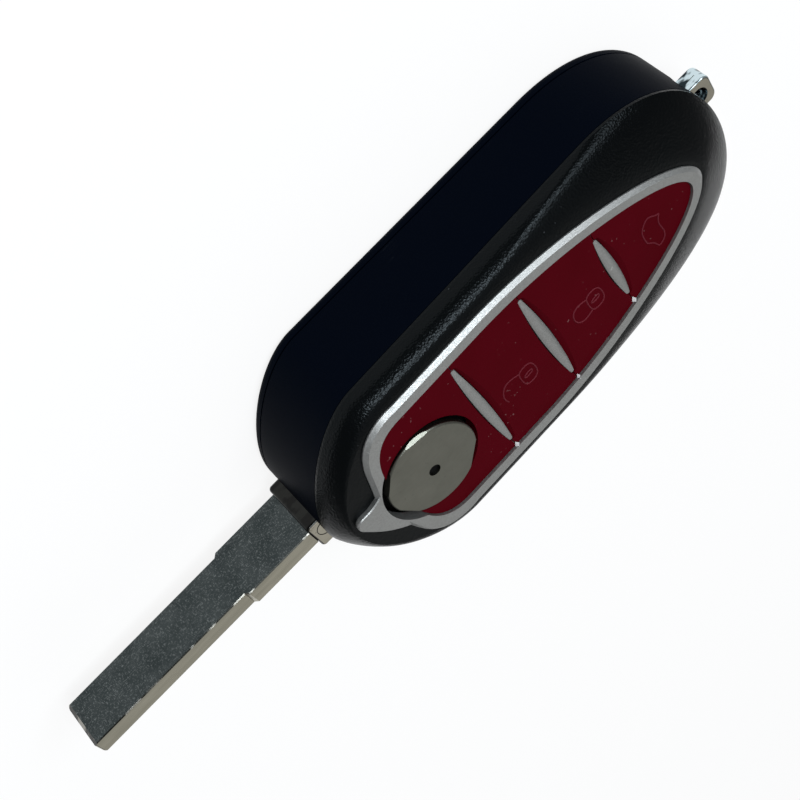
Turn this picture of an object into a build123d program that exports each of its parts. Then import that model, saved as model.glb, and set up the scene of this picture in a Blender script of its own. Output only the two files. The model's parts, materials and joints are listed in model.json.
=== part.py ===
from build123d import *
import os
from dataclasses import dataclass
from math import cos, pi, radians, sin, sqrt

# Shell of a flip key, blade swung out. Millimetres. It is drawn with the release button's axis on
# Z and its flat back at Z = 0, and is moved along X at the end so that the back's centre is the
# origin. X runs along the key: blade tip at -X, key ring lug at +X. +Z comes out of the button face.
# Everything on the button face is drawn in the front frame, whose XY plane is the front seam: it
# crosses the button's axis at seam_height and falls by front_slope towards the lug.

# Body outline in plan
nose_x = -15.7
lug_end_x = 59.5
body_half_width = 17.2
nose_depth = 15.2
nose_power = 1.65
lug_end_depth = 18.5
lug_end_power = 2.2
wall = 1.5

# Body heights
back_wall_height = 1.9
back_edge_radius = 1.2
seam_height = 14.5
front_slope = 2.1
seam_gap = 0.12
seam_depth = 0.3

# Front cover, heights above the front seam
cover_side_height = 0.5
cover_end_power = 1.2
cover_rim_height = 4.0
cover_plate = 1.4
rim_margin = 0.7
rim_nose_depth = 14.4
rim_nose_power = 1.8

# Trim frame and its ribs
trim_half_width = 14.0
trim_tip_x = 52.2
trim_tip_depth = 36.4
trim_tip_power = 1.72
trim_band = 2.2
trim_top = 4.75
trim_depth = 1.75
trim_bevel = 0.55
trim_shoulder_x = 1.5
trim_blade_end = [
    (-2.0, 13.7),
    (-4.8, 12.0),
    (-6.5, 9.1),
    (-7.5, 5.5),
    (-8.4, 2.2),
    (-8.5, -2.2),
    (-7.6, -6.2),
    (-6.7, -9.4),
    (-5.0, -12.3),
    (-2.0, -13.85),
]
tail_outline = [
    (-6.8, 3.9),
    (-8.7, 3.05),
    (-10.2, 2.8),
    (-11.9, 2.7),
    (-12.5, 1.9),
    (-12.1, 0.3),
    (-10.1, -3.1),
    (-8.8, -4.7),
    (-7.3, -6.1),
]
tail_bevel = 0.12
rib_x = [10.1, 22.4, 34.9]
rib_half_length = [10.0, 9.8, 6.8]
rib_half_width = [0.78, 0.86, 0.82]
rib_end_radius = 0.3
rib_round = 1.3
rib_arch = 0.45
bar_half_width = 0.5
bar_thickness = 0.5

# Red pad and keys
pad_top = 4.35
key_thickness = 1.35
key_gap = 0.12
key_lip = 0.35
slit_gap = 0.18
lip_width = 0.8
lip_depth = 0.4
pad_nose_x = -5.9
pad_nose_depth = 6.8
pad_nose_power = 2.5
web_thickness = 0.6
web_margin = 1.0
web_nub_radius = 2.0
web_nub_height = 0.5

# Release button
button_y = -0.6
cap_radius = 7.2
cap_rise = 4.85
cap_sheet = 0.5
cap_edge_radius = 0.35
cap_height = 1.0
cap_fold_angles = [82, 145, 207, 321]
cap_fold_reach = [6.75, 6.83, 6.75, 6.6]
cap_fold_steepness = [42, 78, 48, 45]
cap_hole_radius = 0.9
cap_hole_shift = 0.55
cap_skirt = 0.4
button_hole_radius = 8.3
pad_hole_radius = 7.6
pad_hole_shift = 0.1
head_height = 1.3
stem_radius = 3.2
button_travel = 1.0
button_spring_radius = 4.6
button_spring_wire = 0.4
button_spring_turns = 1.5

# Blade and its holder
blade_y = -1.5
blade_z = 8.4
blade_tip_x = -57.3
blade_shoulder_x = -28.7
blade_thickness = 2.9
blade_half_width = 3.97
blade_step = 0.53
blade_edge_bevel = 0.15
blade_tip_radius = 0.5
blade_tip_bevel = 0.6
blade_back_bevel = 1.0
collar_x = -17.6
collar_rise = 4.71
collar_drop = 5.2
collar_near = 2.45
collar_far = 3.05
collar_edge_radius = 0.6
tang_length = 7.6
tang_half_width = 3.0
tang_thickness = 2.1
pin_x = -15.5
pin_y = -1.25
pin_radius = 0.6
pin_head_radius = 1.25
pin_head_height = 0.5

# Hinge of the blade, beside the release button so that the blade folds along the -Y side
hinge_x = -2.5
hinge_y = -7.3
hub_radius = 6.6
hub_floor = 3.0
post_radius = 2.0
washer_thickness = 0.4
washer_radius = 2.7
hub_screw_radius = 0.85
hub_screw_head_radius = 1.6
hub_screw_head_height = 0.9
hub_screw_length = 4.0
hub_recess_radius = 5.2
flip_spring_radius = 4.5
flip_spring_wire = 0.7
flip_spring_turns = 4

# Case interior
slot_clearance = 0.25
partition = 1.0
cell_radius = 10.2
cell_x = 26.0
cell_y = 2.4
cell_pocket_depth = 2.6
cell_recess_depth = 0.7
clip_length = 12.0
clip_width = 4.0
clip_thickness = 0.3
tray_gap = 0.2
tray_thickness = 0.6
tray_margin = 1.1
tray_window_x = 10.0
tray_window_end = 43.0
tray_window_half_width = 7.0
screw_x = [5.5, 46.0]
screw_insets = [3.3, 6.6]
screw_radius = 0.8
screw_head_radius = 1.5
screw_head_height = 0.9
boss_radius = 2.0
boss_split = 3.0
screw_bite = 3.2

# Key ring lug
lug_x = 59.1
lug_y = 4.4
lug_drop = 4.55
lug_half_length = 2.45
lug_corner_radius = 1.2
lug_hole_radius = 1.4
lug_thickness = 2.9
lug_edge_radius = 0.4
lug_root_x = 50.5
lug_root_width = 3.2
lug_pin_radius = 0.9
ridge = 0.08
ridge_width = 0.3
ring_scoop_radius = 3.7

# Clearances
running = 0.05
fit = 0.02


def block(x0, x1, y0, y1, z0, z1):
    return Pos((x0 + x1) / 2, (y0 + y1) / 2, (z0 + z1) / 2) * Box(x1 - x0, y1 - y0, z1 - z0)


def rod(x, y, radius, z0, z1):
    return Pos(x, y, (z0 + z1) / 2) * Cylinder(radius, z1 - z0)


def prism(face, z0, z1):
    return extrude(Pos(0, 0, z0) * face, z1 - z0, dir=(0, 0, 1))


def quarter(start, corner, end, power):
    """A quarter of a rounded end, touching start-corner and corner-end. Power 2 makes it elliptical."""
    pull = (8 * 2 ** (-1 / power) - 4) / 3
    near = Vector(start) + (Vector(corner) - Vector(start)) * pull
    late = Vector(end) + (Vector(corner) - Vector(end)) * pull
    return Bezier(start, near, late, end)


def end_curves(tip, depth, y, power):
    """A rounded end facing +X, in two halves, from the side at y to -y. A depth below 0 faces -X."""
    first = quarter((tip - depth, y), (tip, y), (tip, 0), power)
    return [first, quarter((tip, 0), (tip, -y), (tip - depth, -y), power)]


@dataclass
class Outline:
    """A long pebble shape on the X axis: two straight sides between a nose at -X and a tip at +X."""

    nose: float
    tip: float
    half_width: float
    nose_depth: float
    tip_depth: float
    nose_power: float
    tip_power: float

    def face(self):
        w = self.half_width
        low, high = self.nose + self.nose_depth, self.tip - self.tip_depth
        tip = end_curves(self.tip, self.tip_depth, w, self.tip_power)
        nose = end_curves(self.nose, -self.nose_depth, -w, self.nose_power)
        return Face(Wire([Line((low, w), (high, w)), *tip, Line((high, -w), (low, -w)), *nose]))

    def inset(self, amount):
        return Outline(
            self.nose + amount,
            self.tip - amount,
            self.half_width - amount,
            self.nose_depth - amount,
            self.tip_depth - amount,
            self.nose_power,
            self.tip_power,
        )

    def blend(self, other, share, end_share):
        """Part of the way to another outline: share moves the sides, end_share moves both ends."""
        ends = self.nose, self.tip, self.nose_depth, self.tip_depth, self.nose_power, self.tip_power
        others = other.nose, other.tip, other.nose_depth, other.tip_depth, other.nose_power, other.tip_power
        nose, tip, nose_depth, tip_depth, nose_power, tip_power = [
            a + (b - a) * end_share for a, b in zip(ends, others)
        ]
        half_width = self.half_width + (other.half_width - self.half_width) * share
        return Outline(nose, tip, half_width, nose_depth, tip_depth, nose_power, tip_power)

    def half_width_at(self, x):
        reach = (x - self.tip + self.tip_depth) / self.tip_depth
        if reach <= 0:
            return self.half_width
        return self.half_width * (1 - reach**self.tip_power) ** (1 / self.tip_power)


screw_places = [(x, body_half_width - inset) for x, inset in zip(screw_x, screw_insets)]
body = Outline(nose_x, lug_end_x, body_half_width, nose_depth, lug_end_depth, nose_power, lug_end_power)
tail_tip_x = min(x for x, y in tail_outline)
rim = Outline(
    tail_tip_x - rim_margin,
    trim_tip_x + rim_margin,
    trim_half_width + rim_margin,
    rim_nose_depth,
    trim_tip_depth + rim_margin,
    rim_nose_power,
    trim_tip_power,
)
window = Outline(
    pad_nose_x,
    trim_tip_x - trim_band,
    trim_half_width - trim_band,
    pad_nose_depth,
    trim_tip_depth - trim_band,
    pad_nose_power,
    trim_tip_power,
)

slope = radians(front_slope)
front = Pos(0, 0, seam_height) * Rot(0, front_slope, 0)
above_seam = front * block(-100, 100, -50, 50, 0, 50)

cap_top = seam_height + cap_rise
lug_z = seam_height - lug_drop
collar_bottom = blade_z - collar_drop
collar_top = blade_z + collar_rise
slot_floor = collar_bottom - slot_clearance
plate_bottom = cover_rim_height - cover_plate
trim_bottom = trim_top - trim_depth
key_bottom = pad_top - key_thickness
boss_top = seam_height - boss_split


def screw_top(x):
    """Height of a case screw's point: screw_bite past the split between case boss and cover boss."""
    return boss_top - x * sin(slope) + screw_bite


def screw_sway(length):
    """How far a hole square to the front seam leaves an upright screw over this length."""
    return length * sin(slope)


def cover_form(inset):
    """The front cover's rounded outside, or with an inset the hollow inside it, above the front seam."""
    low, high = body.inset(inset), rim.inset(inset)
    top = cover_rim_height - (cover_plate if inset else 0)
    side = cover_side_height if top > cover_side_height else top / 2
    steps = 5
    sections = []
    for step in range(steps + 1):
        angle = pi / 2 * step / steps
        rise = sin(angle)
        end_share = 1 - max(0, 1 - rise**cover_end_power) ** (1 / cover_end_power)
        section = low.blend(high, 1 - cos(angle), end_share)
        sections.append(Pos(0, 0, side + (top - side) * rise) * section.face())
    start = -1 if inset else seam_gap
    return prism(low.face(), start, side) + loft(sections)


def ring_face():
    """Outer outline of the trim frame without its tail: the long tip, two straight sides, the end."""
    edges = end_curves(trim_tip_x, trim_tip_depth, trim_half_width, trim_tip_power)
    start = trim_tip_x - trim_tip_depth
    shoulders = [(trim_shoulder_x, side * trim_half_width) for side in (1, -1)]
    for shoulder in shoulders:
        edges.append(Line((start, shoulder[1]), shoulder))
    edges.append(Spline(shoulders[0], *trim_blade_end, shoulders[1]))
    return make_face(edges)


def tail_face():
    """The trim's tail towards the blade, closed by a straight line inside the ring's outline."""
    first, last = tail_outline[0], tail_outline[-1]
    return make_face([Spline(*tail_outline), Line(last, first)])


def bevelled(face, bevel):
    solid = prism(face, trim_bottom, trim_top)
    return chamfer(solid.faces().sort_by(Axis.Z)[-1].edges(), bevel)


def rib_face(x, half_length, half_width):
    """A slender lens with rounded ends, across the key at x."""
    tip = rib_end_radius
    corner = half_length - tip
    edges = [
        ThreePointArc((tip, -corner), (half_width, 0), (tip, corner)),
        ThreePointArc((tip, corner), (0, half_length), (-tip, corner)),
        ThreePointArc((-tip, corner), (-half_width, 0), (-tip, -corner)),
        ThreePointArc((-tip, -corner), (0, -half_length), (tip, -corner)),
    ]
    return Pos(x, 0) * Face(Wire(edges))


def rib_barrel(x, half_length):
    """A long barrel across the key whose top is the crown of a rib: round across, arched along."""
    reach = 1.2
    end = (reach * half_length, rib_round - rib_arch * reach**2)
    arc = ThreePointArc((-end[0], end[1]), (0, rib_round), end)
    half = make_face([arc, Polyline(end, (end[0], 0), (-end[0], 0), (-end[0], end[1]))])
    barrel = revolve(Rot(0, 0, 90) * half, Axis.Y)
    return Pos(x, 0, trim_top - rib_round) * barrel


def button_hole(radius):
    return rod(0, button_y, radius, 0, trim_top + 1)


def make_front_cover():
    hollow = cover_form(wall)
    cover = cover_form(0) + prism(body.inset(seam_depth).face(), 0, seam_gap) - hollow
    for x, y in screw_places:
        cover += rod(x, y, boss_radius, -boss_split, plate_bottom)
        hole_radius = screw_radius + fit + screw_sway(screw_bite)
        cover -= rod(x, y, hole_radius, -boss_split, screw_bite - boss_split + slot_clearance)
    cover -= prism(ring_face(), trim_bottom, trim_top) + prism(tail_face(), trim_bottom, trim_top)
    cover -= prism(window.face(), 0, trim_top)
    cover -= button_hole(button_hole_radius)
    return front * cover


def make_trim_frame():
    ring = bevelled(ring_face(), trim_bevel) + bevelled(tail_face(), tail_bevel)
    ring -= prism(window.face(), 0, trim_top + 1)
    ring -= button_hole(button_hole_radius)
    for x, half_length, half_width in zip(rib_x, rib_half_length, rib_half_width):
        reach = window.half_width_at(x) + trim_band / 4
        bar_top = trim_bottom + bar_thickness
        ring += block(x - bar_half_width, x + bar_half_width, -reach, reach, trim_bottom, bar_top)
        rib = prism(rib_face(x, half_length, half_width), trim_bottom, trim_top)
        ring += rib & rib_barrel(x, half_length)
    return front * ring


def pad_field(x0, x1, bottom):
    """One field of the red pad between two ribs, with its slits and the room for the bars beneath."""
    field = prism(window.inset(key_gap).face(), bottom, pad_top)
    field &= block(x0, x1, -trim_half_width, trim_half_width, bottom, pad_top)
    for x, half_length, half_width in zip(rib_x, rib_half_length, rib_half_width):
        slit = rib_face(x, half_length + slit_gap, half_width + slit_gap)
        lip = rib_face(x + lip_width / 2, half_length + slit_gap, half_width + slit_gap + lip_width / 2)
        field -= prism(slit, bottom, pad_top)
        field -= loft([Pos(0, 0, pad_top - lip_depth) * slit, Pos(0, 0, pad_top) * lip])
        side = bar_half_width + slit_gap
        reach = trim_half_width
        field -= block(x - side, x + side, -reach, reach, bottom, pad_top - key_lip)
    return field


def make_pad_surround():
    field = pad_field(pad_nose_x, rib_x[0] - key_gap / 2, plate_bottom)
    return front * (field - Pos(pad_hole_shift, 0) * button_hole(pad_hole_radius))


def make_key(number):
    last = number == len(rib_x) - 1
    x1 = trim_tip_x if last else rib_x[number + 1] - key_gap / 2
    return front * pad_field(rib_x[number] + key_gap / 2, x1, key_bottom)


def make_pad_web():
    bottom = plate_bottom - web_thickness
    web = prism(window.inset(-web_margin).face(), bottom, plate_bottom)
    web -= rod(0, button_y, cap_radius + web_margin / 2, 0, trim_top)
    ends = [*rib_x, trim_tip_x - 2 * trim_band]
    for x0, x1 in zip(ends, ends[1:]):
        web += rod((x0 + x1) / 2, 0, web_nub_radius, bottom - web_nub_height, bottom)
    for x, y in screw_places:
        web -= rod(x, y, boss_radius + slot_clearance, 0, trim_top)
    return front * web


def make_circuit_tray():
    tray = prism(body.inset(wall + tray_margin).face(), tray_gap, tray_gap + tray_thickness)
    tray -= rod(0, button_y, stem_radius + 2 * slot_clearance, 0, seam_height)
    tray -= block(
        tray_window_x, tray_window_end, -tray_window_half_width, tray_window_half_width, 0, seam_height
    )
    for x, y in screw_places:
        tray -= rod(x, y, boss_radius + 2 * slot_clearance, 0, seam_height)
    return front * tray


def at_hinge(shape):
    return Pos(hinge_x, hinge_y, 0) * shape


rest_side = blade_y + collar_near + slot_clearance
folded_y = 2 * hinge_y - blade_y
folded_collar_side = folded_y + collar_far + slot_clearance
folded_blade_side = folded_y + blade_thickness / 2 + slot_clearance
collar_reach = hinge_x - collar_x
blade_reach = hinge_x - blade_tip_x
tip_radius = sqrt(blade_reach**2 + (blade_y + blade_thickness / 2 - hinge_y) ** 2) + slot_clearance
bay_side = folded_collar_side + partition
case_top = seam_height + 2
far = 2 * blade_reach


def swing_room():
    """Everything that the blade and its holder pass through as they fold from -X past -Y to +X."""
    low, high = slot_floor, case_top
    nose = block(-far, hinge_x + slot_clearance, -far, rest_side, low, high)
    slot_end = hinge_x + collar_reach + slot_clearance
    collar_slot = block(hinge_x, slot_end, -far, folded_collar_side, low, high)
    swept = at_hinge(rod(0, 0, tip_radius, low, high))
    blade_slot = swept & block(hinge_x, far, -far, folded_blade_side, low, high)
    return nose + collar_slot + blade_slot + at_hinge(rod(0, 0, hub_radius + slot_clearance, low, high))


def lug_plate():
    half = lug_half_length
    low, high = lug_z - lug_thickness / 2, lug_z + lug_thickness / 2
    return block(lug_x - half, lug_x + half, lug_y - half, lug_y + half, low, high)


def lug_root():
    low, high = lug_z - lug_thickness / 2, lug_z + lug_thickness / 2
    side = lug_y + lug_half_length
    return block(lug_root_x, lug_x - lug_hole_radius - running, side - lug_root_width, side, low, high)


lug_pin_place = (lug_root_x + lug_root_width / 2, lug_y + lug_half_length - lug_root_width / 2)


def make_circuit_bay():
    bay = prism(body.inset(wall).face(), slot_floor, case_top)
    side = body_half_width
    beside_hub = block(nose_x, lug_root_x, rest_side + partition, side, slot_floor, case_top)
    bay &= beside_hub + block(hinge_x, lug_root_x - partition, bay_side, side, slot_floor, case_top)
    bay -= at_hinge(rod(0, 0, hub_radius + slot_clearance + partition, slot_floor, case_top))
    bay -= rod(cell_x, cell_y, cell_radius + partition, 0, back_wall_height + cell_pocket_depth + partition)
    bay -= block(lug_root_x - 2 * partition, lug_end_x, 0, body_half_width, slot_floor, case_top)
    for x, y in screw_places:
        bay -= rod(x, y, boss_radius, slot_floor, boss_top - (x + boss_radius) * sin(slope) - fit)
    return bay


def make_middle_case():
    case = prism(body.face(), back_wall_height + seam_gap, case_top)
    case += prism(body.inset(seam_depth).face(), back_wall_height, back_wall_height + seam_gap)
    case -= make_circuit_bay()
    case -= swing_room()
    post_top = collar_bottom + hub_floor - running
    case += at_hinge(rod(0, 0, post_radius, slot_floor - fit, post_top))
    case -= at_hinge(rod(0, 0, hub_screw_radius + fit, post_top - hub_screw_length, case_top))
    case -= above_seam + rod(0, button_y, stem_radius + slot_clearance, collar_top, case_top)
    for x, y in screw_places:
        case -= front * rod(x, y, boss_radius + fit, -boss_split, seam_depth)
        case -= rod(x, y, screw_radius + fit, 0, seam_height)
        case -= rod(x, y, screw_head_radius + fit, 0, back_wall_height + screw_head_height)
    case -= rod(cell_x, cell_y, cell_radius, 0, back_wall_height + cell_pocket_depth)
    case -= lug_plate() + lug_root() + Pos(lug_x, lug_y, lug_z) * Sphere(ring_scoop_radius)
    x, y = lug_pin_place
    case -= rod(x, y, lug_pin_radius, slot_floor, case_top)
    return case


def make_back_cover():
    steps = 4
    sections = []
    for step in range(steps + 1):
        angle = pi / 2 * step / steps
        inset = back_edge_radius * (1 - sin(angle))
        sections.append(Pos(0, 0, back_edge_radius * (1 - cos(angle))) * body.inset(inset).face())
    cover = loft(sections) + prism(body.face(), back_edge_radius, back_wall_height - seam_gap)
    cover += prism(body.inset(seam_depth).face(), back_wall_height - seam_gap, back_wall_height)
    return cover - rod(cell_x, cell_y, cell_radius, back_wall_height - cell_recess_depth, back_wall_height)


def make_battery_clip():
    top = back_wall_height + cell_pocket_depth
    low = top - clip_thickness
    half = clip_length / 2
    strip = block(cell_x - half, cell_x + half, cell_y - clip_width / 2, cell_y + clip_width / 2, low, top)
    for side in (1, -1):
        strip += rod(cell_x + side * half / 2, cell_y, clip_width / 4, low - clip_thickness, top)
    return strip


def make_case_screws():
    screws = Part()
    low = back_wall_height
    for x, y in screw_places:
        head = rod(x, y, screw_head_radius, low, low + screw_head_height)
        slot = block(x - screw_head_radius, x + screw_head_radius, y - 0.2, y + 0.2, low, low + 0.4)
        screws += rod(x, y, screw_radius, low, screw_top(x)) + head - slot
    return screws


def make_blade():
    wide = blade_half_width + blade_step
    profile = [
        (collar_x, -wide),
        (blade_shoulder_x, -wide),
        (blade_shoulder_x - blade_step, -blade_half_width),
        (blade_tip_x, -blade_half_width),
        (blade_tip_x, blade_half_width),
        (blade_shoulder_x - blade_step, blade_half_width),
        (blade_shoulder_x, wide),
        (collar_x, wide),
    ]
    sheet = make_face(Polyline(*profile, close=True))
    tip = sheet.vertices().filter_by(lambda v: v.X < blade_tip_x + fit)
    sheet = fillet(tip, blade_tip_radius)
    solid = extrude(Rot(90, 0, 0) * sheet, blade_thickness / 2, both=True)
    flats = solid.faces().filter_by(Axis.Y)
    rims = [edge for flat in flats for edge in flat.edges() if edge.center().X < collar_x - fit]
    solid = chamfer(rims, blade_edge_bevel)
    side = blade_thickness / 2
    tip_cut = blade_tip_bevel / sqrt(2)
    corner = [(side, blade_back_bevel - wide), (side - blade_edge_bevel, -wide), (side, -wide)]
    start = Plane.YZ.offset(blade_shoulder_x)
    strip = extrude(start * make_face(Polyline(*corner, close=True)), collar_x - blade_shoulder_x)
    solid -= strip + mirror(strip, Plane.XZ)
    for y in (side, -side):
        bevel = Rot(0, 0, 45) * block(-tip_cut, tip_cut, -tip_cut, tip_cut, -wide, wide)
        solid -= Pos(blade_tip_x, y) * bevel
    tang = tang_thickness / 2
    solid += block(collar_x, collar_x + tang_length, -tang, tang, -tang_half_width, tang_half_width)
    return Pos(0, blade_y, blade_z) * solid - rod(pin_x, pin_y, pin_radius + fit, 0, cap_top)


def make_blade_holder():
    y0, y1 = blade_y - collar_far, blade_y + collar_near
    neck = block(collar_x, hinge_x, y0, y1, collar_bottom, collar_top)
    edges = neck.edges().filter_by(Axis.X) + neck.faces().sort_by(Axis.X)[0].edges()
    neck = fillet(edges, collar_edge_radius)
    holder = neck + at_hinge(rod(0, 0, hub_radius, collar_bottom, collar_top))
    holder -= at_hinge(rod(0, 0, hub_recess_radius, collar_bottom + hub_floor, collar_top))
    holder -= at_hinge(rod(0, 0, post_radius + running, collar_bottom, collar_top))
    tang = tang_thickness / 2
    low, high = blade_z - tang_half_width, blade_z + tang_half_width
    holder -= block(collar_x, collar_x + tang_length, blade_y - tang, blade_y + tang, low, high)
    holder -= rod(pin_x, pin_y, pin_head_radius + fit, collar_top - pin_head_height, collar_top)
    return holder - rod(pin_x, pin_y, pin_radius + fit, 0, cap_top)


def make_blade_pin():
    head = rod(pin_x, pin_y, pin_head_radius, collar_top - pin_head_height, collar_top)
    return head + rod(pin_x, pin_y, pin_radius, collar_bottom, collar_top)


washer_low = collar_bottom + hub_floor
washer_top = washer_low + washer_thickness


def make_hub_washer():
    ring = rod(0, 0, washer_radius, washer_low, washer_top)
    return at_hinge(ring - rod(0, 0, hub_screw_radius + running, washer_low, washer_top))


def make_hub_screw():
    low = washer_low - hub_screw_length + 2 * running
    head_top = washer_top + hub_screw_head_height
    screw = rod(0, 0, hub_screw_radius, low, washer_top)
    screw += rod(0, 0, hub_screw_head_radius, washer_top, head_top)
    reach = hub_screw_head_radius * 0.7
    for angle in (0, 90):
        screw -= Rot(0, 0, angle) * block(-reach, reach, -0.2, 0.2, head_top - 0.5, head_top)
    return at_hinge(screw)


def coil(radius, wire, turns, low, high):
    """A round wire coil about Z, between the two heights."""
    height = high - low - wire
    path = Helix(pitch=height / turns, height=height, radius=radius)
    section = Plane(origin=path @ 0, z_dir=path % 0) * Circle(wire / 2)
    return Pos(0, 0, low + wire / 2) * sweep(section, path=path)


def make_flip_spring():
    low = washer_low + fit
    return at_hinge(coil(flip_spring_radius, flip_spring_wire, flip_spring_turns, low, collar_top))


head_low = cap_top - cap_sheet - head_height
stem_low = collar_top + slot_clearance + button_travel
tray_rise = (button_spring_radius + button_spring_wire) * sin(slope)
tray_top = seam_height + tray_gap + tray_thickness + tray_rise


def make_release_plunger():
    head = rod(0, button_y, cap_radius - cap_skirt - running, head_low, cap_top - cap_sheet)
    return head + rod(0, button_y, stem_radius, stem_low, head_low)


def make_release_cap():
    low = cap_top - cap_height
    cap = rod(0, 0, cap_radius, low, cap_top)
    cap = fillet(cap.edges().sort_by(Axis.Z)[-1], cap_edge_radius)
    cap -= rod(0, 0, cap_radius - cap_skirt, low, cap_top - cap_sheet)
    wedge = block(0, cap_radius, -cap_radius, cap_radius, 0, cap_radius)
    for angle, reach, steepness in zip(cap_fold_angles, cap_fold_reach, cap_fold_steepness):
        cap -= Rot(0, 0, angle) * Pos(reach, 0, cap_top) * Rot(0, steepness, 0) * wedge
    cap -= rod(0, -cap_hole_shift, cap_hole_radius, low, cap_top)
    return Pos(0, button_y) * cap


def make_release_spring():
    spring = coil(button_spring_radius, button_spring_wire, button_spring_turns, tray_top + fit, head_low)
    return Pos(0, button_y) * spring


def make_key_ring_lug():
    plate = lug_plate()
    plate = fillet(plate.edges().filter_by(Axis.Z), lug_corner_radius)
    ends = plate.faces().filter_by(Axis.Z)
    plate = fillet([edge for end in ends for edge in end.edges()], lug_edge_radius)
    side = lug_y + lug_half_length
    reach = lug_half_length - lug_corner_radius
    low, high = lug_z - ridge_width / 2, lug_z + ridge_width / 2
    lug = plate + block(lug_x, lug_x + reach, side - ridge, side + ridge, low, high) + lug_root()
    lug -= rod(lug_x, lug_y, lug_hole_radius, 0, seam_height)
    return lug - rod(*lug_pin_place, lug_pin_radius + running, 0, seam_height)


def make_lug_pin():
    x, y = lug_pin_place
    top = seam_height - (x + lug_pin_radius) * sin(slope) - slot_clearance
    return rod(x, y, lug_pin_radius, slot_floor, top)


pieces = {
    "front_cover": make_front_cover(),
    "trim_frame": make_trim_frame(),
    "pad_surround": make_pad_surround(),
    "unlock_key": make_key(0),
    "lock_key": make_key(1),
    "boot_key": make_key(2),
    "pad_web": make_pad_web(),
    "circuit_tray": make_circuit_tray(),
    "middle_case": make_middle_case(),
    "back_cover": make_back_cover(),
    "battery_clip": make_battery_clip(),
    "case_screws": make_case_screws(),
    "blade": make_blade(),
    "blade_holder": make_blade_holder(),
    "blade_pin": make_blade_pin(),
    "hub_washer": make_hub_washer(),
    "hub_screw": make_hub_screw(),
    "flip_spring": make_flip_spring(),
    "release_cap": make_release_cap(),
    "release_plunger": make_release_plunger(),
    "release_spring": make_release_spring(),
    "key_ring_lug": make_key_ring_lug(),
    "lug_pin": make_lug_pin(),
}
back_centre = (nose_x + lug_end_x) / 2
os.makedirs("parts", exist_ok=True)
for name, shape in pieces.items():
    export_step(Pos(-back_centre, 0, 0) * shape, f"parts/{name}.step")
    print(name, len(shape.solids()), round(shape.volume, 1))
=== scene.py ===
# %% [markdown]
# A flip key lies on a pale table with its blade swung out. The CAD model of it is already packed, so
# the scene starts by loading that model as a frame. Nothing in it is moved. Everything below adds
# finishes, thin surface detail, light and a camera.

# %% Load the CAD frame
import json
import math
import bpy
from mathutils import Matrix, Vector


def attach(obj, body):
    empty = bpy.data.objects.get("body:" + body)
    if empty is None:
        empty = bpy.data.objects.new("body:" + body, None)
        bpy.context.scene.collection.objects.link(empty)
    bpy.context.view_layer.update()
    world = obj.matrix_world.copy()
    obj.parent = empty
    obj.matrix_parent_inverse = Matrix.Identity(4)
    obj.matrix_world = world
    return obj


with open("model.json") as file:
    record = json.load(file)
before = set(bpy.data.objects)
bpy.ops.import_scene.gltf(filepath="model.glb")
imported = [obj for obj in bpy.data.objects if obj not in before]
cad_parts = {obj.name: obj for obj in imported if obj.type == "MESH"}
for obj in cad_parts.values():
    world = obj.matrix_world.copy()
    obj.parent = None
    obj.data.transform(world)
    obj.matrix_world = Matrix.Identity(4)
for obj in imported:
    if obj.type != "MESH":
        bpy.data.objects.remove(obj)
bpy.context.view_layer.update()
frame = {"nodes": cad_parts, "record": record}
nodes = frame["nodes"]

# %% [markdown]
# The key was drawn with the release button's axis as its own zero, 21.9 mm from the middle of the
# back. The button face slopes by 2.1 degrees, like a low desk, from a seam that is 14.5 mm up at the
# button. Two small helpers turn places on that face into places in the frame, so each later step can
# speak in the millimetres of the button face. The rubber pad's surface is 4.35 mm above the seam.

# %% Places on the button face
BUTTON_X = -21.9
SEAM_HEIGHT = 14.5
SLOPE = math.radians(2.1)
PAD_TOP = 4.35


def mm(x, y, z):
    """A place in the drawing's millimetres, as metres in the frame."""
    return Vector((x + BUTTON_X, y, z)) / 1000


def on_face(x, y, height):
    """A place on the sloping button face: height is in millimetres above the front seam."""
    along = x * math.cos(SLOPE) + height * math.sin(SLOPE)
    up = SEAM_HEIGHT - x * math.sin(SLOPE) + height * math.cos(SLOPE)
    return mm(along, y, up)


print("pad's surface at the button's axis:", [round(v, 4) for v in on_face(0, 0, PAD_TOP)])

# %% [markdown]
# Materials here are made of noise, masks and bumps, and the maths between them is easier to read as
# arithmetic than as a list of nodes and links. So one small class wraps a node's output socket. To
# add, subtract or multiply with it adds a Math node, and any other node comes from one method.

# %% A socket that does arithmetic
# A Mix node has sockets for numbers, vectors and colours. These are the ones that mix colours.
MIX_FACTOR = 0
MIX_LOW = 6
MIX_HIGH = 7
MIX_RESULT = 2


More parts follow.
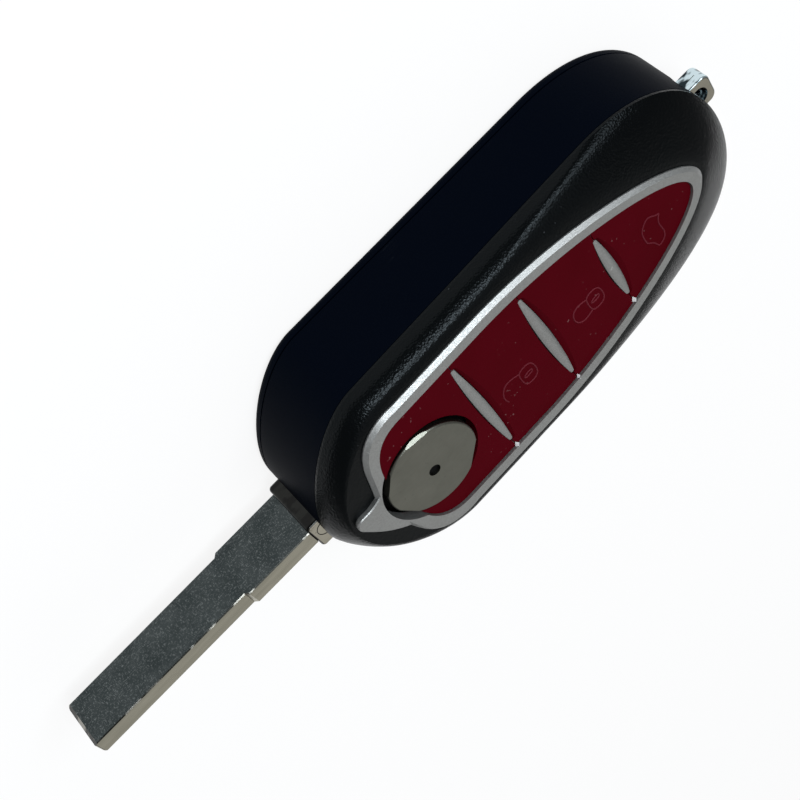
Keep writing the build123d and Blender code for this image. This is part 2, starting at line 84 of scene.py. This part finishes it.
class Shade:
    """One output socket of a material's node tree, with arithmetic on its values."""

    def __init__(self, tree, socket):
        self.tree = tree
        self.socket = socket

    def math(self, operation, *values):
        """A Math node that takes this value first and the others after it."""
        return self.node("ShaderNodeMath", {"operation": operation}, dict(enumerate((self, *values))))

    def node(self, kind, settings, inputs, output=0):
        """A node of this type with its settings, then the values or links of its inputs."""
        made = self.tree.nodes.new(kind)
        for name, value in settings.items():
            setattr(made, name, value)
        for name, value in inputs.items():
            if isinstance(value, Shade):
                self.tree.links.new(value.socket, made.inputs[name])
            else:
                made.inputs[name].default_value = value
        return Shade(self.tree, made.outputs[output])

    def __add__(self, other):
        return self.math("ADD", other)

    def __mul__(self, other):
        return self.math("MULTIPLY", other)

    def __sub__(self, other):
        return self.math("SUBTRACT", other)

    def __rsub__(self, other):
        return self.node("ShaderNodeMath", {"operation": "SUBTRACT"}, {0: other, 1: self})

    def between(self, low, high):
        """0 below low, 1 above high, and a smooth ramp between them."""
        return self.node(
            "ShaderNodeMapRange",
            {"interpolation_type": "SMOOTHSTEP"},
            {"Value": self, "From Min": low, "From Max": high},
        )

    def mixed(self, low, high):
        """The Shade or four-number colour low where this is 0, and high where it is 1."""
        sockets = {MIX_FACTOR: self, MIX_LOW: low, MIX_HIGH: high}
        return self.node("ShaderNodeMix", {"data_type": "RGBA"}, sockets, MIX_RESULT)

    def colours(self, low, high):
        """The plain colour low where this is 0, and high where it is 1."""
        return self.mixed((*low, 1), (*high, 1))


print("a Shade can:", [name for name in vars(Shade) if not name.startswith("__")])

# %% [markdown]
# Every finish starts the same way: a material with a Principled shader, and the object's own
# coordinates, which stay with the piece when it moves. One helper makes that start, another sets the
# shader's sockets and a third files the finish, so that each one below is only what makes it different.

# %% Start and finish a material
def start(name):
    """A new material, and a Shade of its object coordinates."""
    material = bpy.data.materials.new(name)
    material.use_nodes = True
    tree = material.node_tree
    coordinates = tree.nodes.new("ShaderNodeTexCoord")
    return material, Shade(tree, coordinates.outputs["Object"])


def noise(place, scale, detail=3.0, roughness=0.5):
    """Soft random values, with scale in cycles per metre."""
    inputs = {"Vector": place, "Scale": scale, "Detail": detail, "Roughness": roughness}
    return place.node("ShaderNodeTexNoise", {}, inputs)


def streaks(place, stretch, detail, roughness):
    """Noise with its own cycles per metre along X, Y and Z, so it draws out along the lowest."""
    stretched = place.node("ShaderNodeMapping", {}, {"Vector": place, "Scale": stretch})
    return noise(stretched, 1.0, detail, roughness)


def cells(place, scale, output="Distance"):
    """The distance to the nearest of many scattered points, or that point's own random colour."""
    return place.node("ShaderNodeTexVoronoi", {}, {"Vector": place, "Scale": scale}, output)


def bump(height, strength, distance):
    """A surface normal tilted by this height, with distance in metres."""
    inputs = {"Height": height, "Strength": strength, "Distance": distance}
    return height.node("ShaderNodeBump", {}, inputs)


def shader(material, **sockets):
    """Sets the Principled shader's sockets. A name has _ where the socket's has a space."""
    principled = material.node_tree.nodes["Principled BSDF"]
    for name, value in sockets.items():
        socket = principled.inputs[name.replace("_", " ")]
        if isinstance(value, Shade):
            material.node_tree.links.new(value.socket, socket)
        else:
            socket.default_value = (*value, 1) if isinstance(value, tuple) else value
    return material


finishes = {}


def keep(name, material):
    """Files a finish under the name of the material slot it is for."""
    finishes[name] = material
    print("finish", name, "nodes:", len(material.node_tree.nodes))


print("finishes so far:", len(finishes))

# %% [markdown]
# The front cover is moulded in a spark-textured tool: a fine even grain that breaks the highlight
# into a sparkle along the rounded shoulder. A small Voronoi pattern gives the pits, noise makes them
# uneven, and both go to the bump. The pits are about 0.3 mm apart. Black plastic of this kind
# reflects little, so its specular level is low, and a few pale specks of dust sit on it.

# %% Grained black plastic
def grained_black():
    material, place = start("grained_black")
    pits = cells(place, 3400)
    rough = noise(place, 2200, 2.0)
    cloud = noise(place, 60, 3.0)
    dust = noise(place, 1900, 1.0).between(0.74, 0.8) * noise(place, 90, 2.0).between(0.5, 0.7)
    return shader(
        material,
        Base_Color=(dust * 0.5).colours((0.0006, 0.0010, 0.0013), (0.11, 0.12, 0.13)),
        Roughness=cloud * 0.1 + 0.2,
        Specular_IOR_Level=0.11,
        Specular_Tint=(0.85, 0.95, 1.0),
        Normal=bump(pits * 0.7 + rough * 0.8, 0.6, 0.00008),
    )


keep("grained_black", grained_black())

# %% [markdown]
# The middle and back shells have a smoother satin finish with a touch of navy, and they carry the
# handling marks: hairline scratches in a few directions. A scratch is a thin band of a stretched
# noise, so two stretched noises crossed at an angle give a believable set. The hidden inner pieces
# get a plain moulded black.

# %% Satin black plastic
SCRATCH_STRETCH = (40, 1600, 1600)


def scratches(place, angle, scale, width):
    """Thin lines along one direction, broken up at random."""
    inputs = {"Vector": place, "Rotation": angle, "Scale": SCRATCH_STRETCH}
    turned = place.node("ShaderNodeMapping", {}, inputs)
    from_middle = (noise(turned, scale, 0.0) - 0.5).math("ABSOLUTE")
    return 1 - from_middle.between(0.0, width)


def satin_black():
    material, place = start("satin_black")
    cloud = noise(place, 70, 3.0)
    fine = noise(place, 5200, 2.0)
    one_way = scratches(place, (0.2, 0.9, 0.35), 1.0, 0.004)
    other_way = scratches(place, (0.7, 0.2, -0.5), 0.8, 0.003)
    marks = (one_way + other_way) * noise(place, 160, 2.0).between(0.58, 0.78)
    return shader(
        material,
        Base_Color=(marks * 0.22).colours((0.0004, 0.0014, 0.0045), (0.05, 0.055, 0.065)),
        Roughness=cloud * 0.12 + 0.4,
        Specular_IOR_Level=0.015,
        Specular_Tint=(0.7, 0.88, 1.0),
        Normal=bump(fine * 0.6 - marks * 0.5, 0.25, 0.00004),
    )


def inner_black():
    material, place = start("inner_black")
    fine = noise(place, 3000, 2.0)
    return shader(
        material,
        Base_Color=noise(place, 120, 2.0).colours((0.003, 0.003, 0.0032), (0.006, 0.006, 0.0062)),
        Roughness=fine * 0.1 + 0.5,
        Specular_IOR_Level=0.05,
        Normal=bump(fine, 0.3, 0.00005),
    )


keep("satin_black", satin_black())
keep("inner_black", inner_black())

# %% [markdown]
# The trim is plastic with a silver lacquer: metal flakes under a thin clear layer. Small Voronoi
# cells shift the brightness a little from flake to flake, and the coat on top has no bumps. Where
# fingers rub, small nicks in the lacquer show as lighter spots.

# %% Silver lacquer
SILVER_LOW = (0.265, 0.268, 0.262)
SILVER_HIGH = (0.47, 0.475, 0.47)


def silver_trim():
    material, place = start("silver_trim")
    flakes = cells(place, 7000, "Color")
    shade = flakes.node("ShaderNodeSeparateColor", {}, {"Color": flakes})
    cloud = noise(place, 90, 2.0)
    nicks = noise(place, 900, 3.0, 0.7).between(0.66, 0.72) * noise(place, 150, 1.0).between(0.5, 0.65)
    return shader(
        material,
        Base_Color=(shade * 0.4 + cloud * 0.3 + nicks).colours(SILVER_LOW, SILVER_HIGH),
        Metallic=0.8,
        Roughness=shade * 0.16 + 0.38,
        Coat_Weight=0.1,
        Coat_Roughness=0.15,
        Normal=bump(shade + nicks * 2.0, 0.22, 0.00004),
    )


keep("silver_trim", silver_trim())

# %% [markdown]
# The keys are silicone rubber: deep red, matte, and they hold on to dust. The specks are the peaks
# of a fine noise, kept only where a coarser noise is high. The icons are moulded with the keys, and
# their ridges get a lighter red as a painted highlight, so the same function makes both reds.

# %% Red rubber
DUST = (0.34, 0.2, 0.2, 1)


def red_rubber(name, low, high):
    material, place = start(name)
    cloud = noise(place, 130, 4.0)
    skin = noise(place, 3800, 2.0)
    dust = noise(place, 1500, 1.0).between(0.72, 0.77) * noise(place, 140, 2.0).between(0.45, 0.65)
    return shader(
        material,
        Base_Color=(dust * 0.35).mixed(cloud.colours(low, high), DUST),
        Roughness=cloud * 0.12 + 0.46,
        Specular_IOR_Level=0.015,
        Normal=bump(skin + dust * 0.8, 0.25, 0.00005),
    )


keep("red_rubber", red_rubber("red_rubber", (0.062, 0.0003, 0.0026), (0.082, 0.0010, 0.0052)))
# A lighter copy of the key red: the painted highlight on the icons' raised ridges.
icon_red_highlight = red_rubber("icon_red_highlight", (0.11, 0.012, 0.02), (0.16, 0.026, 0.036))

# %% [markdown]
# The steel parts differ in their history. The button's disc is stamped sheet with a faint rolled
# grain. The blade is a milled blank whose broad faces are full of short hair scratches. Its colour
# also holds painted reflection: the broad faces get a dark painted reflection, the narrow faces a warm
# grey painted reflection of a bright wall, and the thin bevels between them patches of painted glint.
# A face is known by its normal in the piece's own axes.

# %% Disc and blade
def facing(place, axis):
    """How square a face is to this axis of the piece: 1 is square, and 0 is along it."""
    normal = place.node("ShaderNodeTexCoord", {}, {}, "Normal")
    return normal.node("ShaderNodeSeparateXYZ", {}, {"Vector": normal}, axis).math("ABSOLUTE")


def button_steel():
    material, place = start("button_steel")
    grain = streaks(place, (900, 7000, 900), 3.0, 0.6)
    cloud = noise(place, 260, 4.0, 0.6)
    spots = noise(place, 1700, 2.0).between(0.66, 0.74)
    shade = cloud * 0.8 + grain * 0.3 - spots * 0.25
    return shader(
        material,
        Base_Color=shade.colours((0.115, 0.118, 0.1), (0.22, 0.222, 0.192)),
        Metallic=1.0,
        Roughness=cloud * 0.16 + 0.24,
        Normal=bump(grain + cloud, 0.14, 0.00004),
    )


def blade_nickel():
    material, place = start("blade_nickel")
    side = facing(place, "Y")
    broad = side.between(0.8, 0.95)
    bevels = side.between(0.5, 0.65) - broad
    hairs = streaks(place, (2100, 3600, 7200), 3.0, 0.65)
    crossed = streaks(place, (7200, 3600, 2100), 3.0, 0.65)
    flecks = hairs.math("MAXIMUM", crossed).between(0.56, 0.69)
    clouds = noise(place, 260, 3.0)
    long_streaks = streaks(place, (160, 1500, 1500), 2.0, 0.5)
    # Painted reflection in the colour: dark on the broad faces, where the hair scratches are real, and a warm
    # grey on the narrow faces.
    broad_dark_reflection = (flecks * 0.75 + clouds * 0.4 - 0.1).colours((0.028, 0.036, 0.037), (0.19, 0.21, 0.21))
    narrow_warm_reflection = long_streaks.colours((0.3, 0.29, 0.235), (0.47, 0.45, 0.375))
    # Patches of painted glint on the thin bevels.
    bevel_glint_patches = streaks(place, (240, 300, 300), 3.0, 0.6).between(0.5, 0.6)
    bevel_painted_glints = bevel_glint_patches.colours((0.02, 0.02, 0.018), (0.26, 0.25, 0.225))
    return shader(
        material,
        Base_Color=bevels.mixed(broad.mixed(narrow_warm_reflection, broad_dark_reflection), bevel_painted_glints),
        Metallic=1.0,
        Roughness=broad * 0.14 + flecks * 0.12 + 0.22,
        Normal=bump(broad * flecks + long_streaks * 0.3, 0.3, 0.00003),
    )


keep("button_steel", button_steel())
keep("blade_nickel", blade_nickel())

# %% [markdown]
# The collar and lug are plated zinc. Their colour holds painted reflection: the level tops get a warm
# painted reflection of a bright wall, the collar's sides a dark one and the lug's sides bluish-white
# painted streaks. The springs and screws are mostly hidden, so they get a plain drawn steel.

# %% Plated zinc and wire
def plated(name, top_reflection_low, top_reflection_high, side_reflection_low, side_reflection_high):
    """Plated zinc with painted reflection: one pair of colours on its level faces, another in patches on the
    upright ones.
    """
    material, place = start(name)
    waves = noise(place, 420, 2.0)
    grime = noise(place, 1800, 2.0).between(0.64, 0.72) * 0.5
    # Painted reflection: a warm one on the level tops, and a dark or streaked one on the upright sides.
    top_painted_reflection = (waves - grime).colours(top_reflection_low, top_reflection_high)
    side_reflection_patches = streaks(place, (500, 500, 900), 2.0, 0.5).between(0.45, 0.6)
    level = facing(place, "Z").between(0.75, 0.92)
    return shader(
        material,
        Base_Color=level.mixed(side_reflection_patches.colours(side_reflection_low, side_reflection_high), top_painted_reflection),
        Metallic=1.0,
        Roughness=waves * 0.1 + grime * 0.2 + 0.1,
        Normal=bump(waves, 0.18, 0.0001),
    )


def wire_steel(name):
    material, place = start(name)
    drawn = noise(place, 2600, 2.0)
    return shader(
        material,
        Base_Color=drawn.colours((0.3, 0.3, 0.3), (0.48, 0.48, 0.47)),
        Metallic=1.0,
        Roughness=drawn * 0.15 + 0.28,
        Normal=bump(drawn, 0.1, 0.00003),
    )


# Colours of the painted reflection: top low and high, then side low and high. The collar's sides are dark,
# the lug's bluish-white.
PLATED_REFLECTION_COLOURS = {
    "collar_chrome": [(0.36, 0.34, 0.28), (0.54, 0.52, 0.44), (0.016, 0.016, 0.0155), (0.023, 0.0235, 0.022)],
    "lug_chrome": [(0.27, 0.26, 0.22), (0.42, 0.4, 0.33), (0.02, 0.03, 0.035), (0.6, 0.72, 0.76)],
}
for name, colours in PLATED_REFLECTION_COLOURS.items():
    keep(name, plated(name, *colours))
for name in ["spring_steel", "screw_steel"]:
    keep(name, wire_steel(name))

# %% [markdown]
# The record says which material slot each node of the CAD model has. The finish filed under that
# name takes the place of the node's plain colour, and the node keeps its mesh.

# %% Give each node its finish
for part in frame["record"]["subparts"]:
    shown = nodes[part["node"]]
    shown.data.materials.clear()
    shown.data.materials.append(finishes[part["material_slot"]])

# %% [markdown]
# Each key carries a function icon in fine raised lines: an open padlock, a closed one, and a car with
# its boot open. On the real key they are ridges of the rubber moulding, about 0.2 mm wide. A ridge is
# drawn as by hand: a plane is merged to one point, the point is extruded along the icon, and the
# chain of edges is made a curve, smoothed, given a round thickness and made a mesh again. Half of the
# round wire is under the rubber, so only a low ridge shows.

# %% Ridges of rubber
RIDGE_RADIUS = 0.00011
RIDGE_ORDER = 3
RIDGE_STEPS = 6


def ridge(route, closed):
    """One smooth raised line along these places of the pad, in millimetres."""
    places = [on_face(x, y, PAD_TOP) for x, y in route]
    bpy.ops.object.select_all(action="DESELECT")
    bpy.ops.mesh.primitive_plane_add(size=0.001, location=places[0])
    line = bpy.context.object
    bpy.ops.object.mode_set(mode="EDIT")
    bpy.ops.mesh.select_all(action="SELECT")
    bpy.ops.mesh.merge(type="CENTER")
    for here, there in zip(places, places[1:]):
        bpy.ops.mesh.extrude_region_move(TRANSFORM_OT_translate={"value": there - here})
    bpy.ops.object.mode_set(mode="OBJECT")
    bpy.ops.object.convert(target="CURVE")
    line.data.bevel_depth = RIDGE_RADIUS
    line.data.bevel_resolution = 1
    line.data.use_fill_caps = True
    for spline in line.data.splines:
        spline.type = "NURBS"
        spline.use_cyclic_u = closed
        spline.use_endpoint_u = not closed
        spline.order_u = RIDGE_ORDER
        spline.resolution_u = RIDGE_STEPS
    bpy.ops.object.convert(target="MESH")
    bpy.ops.object.transform_apply(location=True, rotation=True, scale=True)
    bpy.ops.object.shade_smooth()
    return line


def icon(name, body, lines):
    """Joins the lines of one icon into one piece, which rides on its key."""
    made = [ridge(*line) for line in lines]
    bpy.ops.object.select_all(action="DESELECT")
    for line in made:
        line.select_set(True)
    bpy.context.view_layer.objects.active = made[0]
    bpy.ops.object.join()
    piece = bpy.context.object
    piece.name = name
    piece.data.materials.clear()
    # The icon's lighter red is a painted highlight.
    piece.data.materials.append(icon_red_highlight)
    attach(piece, body)
    print(name, "lines:", len(lines), "faces:", len(piece.data.polygons))


print("ridge width in mm:", round(RIDGE_RADIUS * 2 * 1000, 2))

# %% [markdown]
# A padlock is three lines: the body with its round corners, the bow, and the keyhole. The open one
# has its bow swung out, so the two locks share a helper for the rest. The car is one closed line.

# %% Padlock and car
def padlock(x, y, bow):
    """The lines of a padlock whose body starts at x, with its middle at y. The bow lies towards -X."""
    body = [(0, 1.2), (0.6, 1.75), (1.9, 1.75), (2.6, 1.0)]
    body += [(2.6, -1.0), (1.9, -1.75), (0.6, -1.75), (0, -1.2)]
    keyhole = [(0.4, -0.1), (0.9, 0.3), (2.0, 0.35), (2.0, -0.25), (0.9, -0.35)]
    loops = [[(x + along, y + across) for along, across in line] for line in (body, keyhole)]
    return [(loop, True) for loop in loops] + [(bow, False)]


closed_bow = [(29.5, -0.6), (28.4, -0.15), (27.1, -0.5), (26.6, -1.9)]
closed_bow += [(27.1, -3.3), (28.4, -3.65), (29.5, -3.2)]
open_bow = [(16.4, -1.0), (15.4, -0.5), (14.1, -0.4), (13.2, -1.3), (12.8, -2.7), (13.1, -3.6)]
icon("lock_icon", "lock", padlock(29.45, -1.9, closed_bow))
icon("unlock_icon", "unlock", padlock(16.25, -2.4, open_bow))

roof = [(40.9, 0.6), (41.6, 1.4), (42.4, 1.85), (43.1, 1.5), (43.6, 0.9), (44.3, 0.75)]
rear = [(43.9, 0.35), (43.5, -0.75), (43.6, -1.8), (43.7, -3.0), (43.3, -4.0), (42.1, -4.5)]
wheels = [(41.85, -3.9), (41.6, -3.0), (40.75, -2.2), (40.7, -1.4), (40.7, -0.3)]
icon("boot_icon", "boot", [(roof + rear + wheels, True)])

# %% [markdown]
# Two kinds of small marks are left. Where a rib's foot meets the far edge of the trim, the moulding
# leaves a little wedge of the frame between two keys: a four-sided cone laid on its side, with its tip
# towards the rib, coloured near white as a painted glint. And the rivet that holds the blade in its
# collar is ground flush, so only a dark line round its head shows it.

# %% Wedges and rivet line
WEDGE_PLACES = [(10.2, -11.4), (22.6, -11.2), (35.0, -8.3)]
WEDGE_HEIGHT = 4.42
WEDGE_HALF_WIDTH = 0.0004
WEDGE_LENGTH = 0.0009
RIVET_PLACE = (-15.5, -1.25, 13.11)
RIVET_RADIUS = 0.00125
RIVET_LINE_RADIUS = 0.00006


def plain(name, colour, metallic, roughness):
    """One colour with faintly darker spots."""
    material, place = start(name)
    spots = noise(place, 2400, 2.0)
    return shader(
        material,
        Base_Color=spots.colours([c * 0.85 for c in colour], colour),
        Metallic=metallic,
        Roughness=spots * 0.1 + roughness,
    )


# The wedges' near-white colour is a painted glint.
wedge_painted_glint = plain("wedge_painted_glint", (0.9, 0.9, 0.9), 0.2, 0.3)
for number, (x, y) in enumerate(WEDGE_PLACES, start=1):
    bpy.ops.object.select_all(action="DESELECT")
    bpy.ops.mesh.primitive_cone_add(
        vertices=4, radius1=WEDGE_HALF_WIDTH, radius2=0.0, depth=WEDGE_LENGTH,
        location=on_face(x, y, WEDGE_HEIGHT), rotation=(-math.pi / 2, 0, 0),
    )
    bpy.ops.object.transform_apply(location=True, rotation=True, scale=True)
    wedge = bpy.context.object
    wedge.name = f"rib_wedge_{number}"
    wedge.data.materials.append(wedge_painted_glint)
    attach(wedge, "shell")

bpy.ops.object.select_all(action="DESELECT")
bpy.ops.mesh.primitive_torus_add(
    major_radius=RIVET_RADIUS, minor_radius=RIVET_LINE_RADIUS, major_segments=40, minor_segments=8,
    location=mm(*RIVET_PLACE),
)
bpy.ops.object.transform_apply(location=True, rotation=True, scale=True)
rivet = bpy.context.object
rivet.name = "rivet_line"
rivet.data.materials.append(plain("rivet_dark", (0.02, 0.019, 0.017), 0.6, 0.4))
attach(rivet, "flip")
print("wedges:", len(WEDGE_PLACES), "and a line round the rivet's head")

# %% [markdown]
# The key lies on a plain white sheet. The floor is mostly a white glow that only the camera and
# mirror-like surfaces see, mixed with a plain white surface that still takes the key's soft shadow.
# The room round it is white to the camera, but lights the key with only a quarter of that.

# %% Floor and world
FLOOR_SIZE = 6
FLOOR_DROP = 0.0004
GLOW_STRENGTH = 1.05
GLOW_SHARE = 0.8
ROOM_LIGHT = 0.25


def white_sheet():
    material = bpy.data.materials.new("white_sheet")
    material.use_nodes = True
    tree = material.node_tree
    principled = tree.nodes["Principled BSDF"]
    principled.inputs["Base Color"].default_value = (0.86, 0.86, 0.87, 1)
    principled.inputs["Roughness"].default_value = 0.9
    path = tree.nodes.new("ShaderNodeLightPath")
    rays = ["Is Camera Ray", "Is Glossy Ray", "Is Transmission Ray"]
    camera_ray, glossy_ray, transmission_ray = [Shade(tree, path.outputs[ray]) for ray in rays]
    seen = (camera_ray + glossy_ray + transmission_ray).math("MINIMUM", 1.0)
    glow = tree.nodes.new("ShaderNodeEmission")
    glow.inputs["Strength"].default_value = GLOW_STRENGTH
    mix = tree.nodes.new("ShaderNodeMixShader")
    tree.links.new((seen * GLOW_SHARE).socket, mix.inputs["Fac"])
    tree.links.new(principled.outputs[0], mix.inputs[1])
    tree.links.new(glow.outputs[0], mix.inputs[2])
    tree.links.new(mix.outputs[0], tree.nodes["Material Output"].inputs["Surface"])
    return material


bpy.ops.object.select_all(action="DESELECT")
bpy.ops.mesh.primitive_plane_add(size=FLOOR_SIZE, location=(0, 0, -FLOOR_DROP))
floor = bpy.context.object
floor.name = "table_sheet"
floor.data.materials.append(white_sheet())

world = bpy.data.worlds.new("soft_room")
bpy.context.scene.world = world
world.use_nodes = True
sky = world.node_tree.nodes["Background"]
path = world.node_tree.nodes.new("ShaderNodeLightPath")
camera_ray = Shade(world.node_tree, path.outputs["Is Camera Ray"])
strength = camera_ray * (1 - ROOM_LIGHT) + ROOM_LIGHT
world.node_tree.links.new(strength.socket, sky.inputs["Strength"])
sky.inputs["Color"].default_value = (1, 1, 1, 1)
print("floor:", FLOOR_SIZE, "m wide, and a world named", world.name)

# %% [markdown]
# Four soft lights. The main one hangs high behind the camera: it lights the keys, runs a grainy
# band along the cover's shoulder and whitens the trim's near edge. A dimmer one beside it carries
# that white line on towards the lug. A wide, dim one beyond the far side is what the flat tops of the
# blade, the ribs and the disc reflect, so they stay a calm grey. A dim one overhead fills the rest.
# Together with the world they light a face that looks up about as much as a colour needs to come out
# as it is written.

# %% Lights
TARGET = Vector((0, 0, 0.01))


def window(name, place, size, power, colour):
    """A soft four-sided light that faces the middle of the key, with its power in watts."""
    data = bpy.data.lights.new(name, "AREA")
    data.shape = "RECTANGLE"
    data.size, data.size_y = size
    data.energy = power
    data.color = colour
    lamp = bpy.data.objects.new(name, data)
    bpy.context.collection.objects.link(lamp)
    lamp.location = place
    lamp.rotation_euler = (TARGET - Vector(place)).to_track_quat("-Z", "Y").to_euler()


window("main_box", (0.03, 0.5, 0.64), (0.26, 0.26), 3.4, (0.88, 0.95, 1.0))
window("side_box", (0.36, 0.42, 0.6), (0.3, 0.3), 1.6, (0.88, 0.95, 1.0))
window("far_screen", (0.0, -0.95, 0.72), (1.7, 1.0), 1.9, (1.0, 0.99, 0.95))
window("ceiling", (0.0, 0.0, 1.0), (0.8, 0.8), 1.0, (1.0, 1.0, 1.0))

# %% [markdown]
# The camera was fitted to the photograph: its place, its turn and its lens together put the blade,
# the body and the button where the picture has them.

# %% Camera
data = bpy.data.cameras.new("camera")
data.sensor_width = 36
data.lens = 81.715
camera = bpy.data.objects.new("camera", data)
bpy.context.collection.objects.link(camera)
camera.location = (-0.023223, 0.192013, 0.155751)
camera.rotation_euler = (-0.733372, -0.608542, -0.540787)
bpy.context.scene.camera = camera
bpy.context.scene.view_settings.view_transform = "Standard"
print("camera at", [round(v, 3) for v in camera.location])

# %% [markdown]

# %% [markdown]
